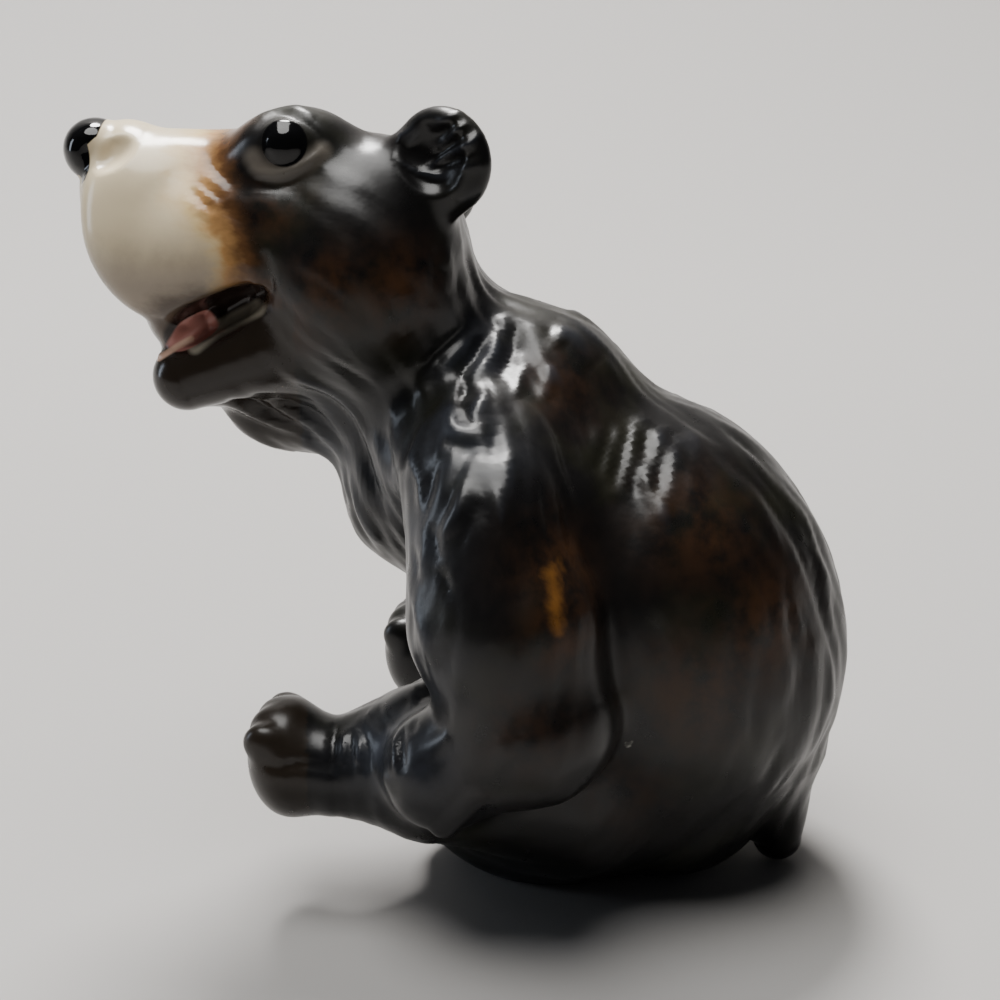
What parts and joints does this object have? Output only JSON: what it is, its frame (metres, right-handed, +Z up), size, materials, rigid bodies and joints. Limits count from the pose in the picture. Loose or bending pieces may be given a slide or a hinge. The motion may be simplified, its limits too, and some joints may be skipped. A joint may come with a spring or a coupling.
{
  "type": "ceramic bear figurine",
  "caption": "Seated bear with a raised, turned head and open mouth, paws on its thighs and hind feet stretched forward; a small glazed ornament that stands on its flat seat.",
  "frame": {"origin": "on the floor, under the middle of the figurine's bounding box", "axes": "+Z up; the bear sits facing -Y, its own left side is +X, and its head looks round to its left"},
  "size_m": [0.0812, 0.1088, 0.1096],
  "materials": {
    "glaze": "glossy hand-painted glaze: near black coat with brown patches, beige muzzle, pink tongue"
  },
  "bodies": {
    "root": {"bear_figurine": "glaze"}
  },
  "joints": []
}
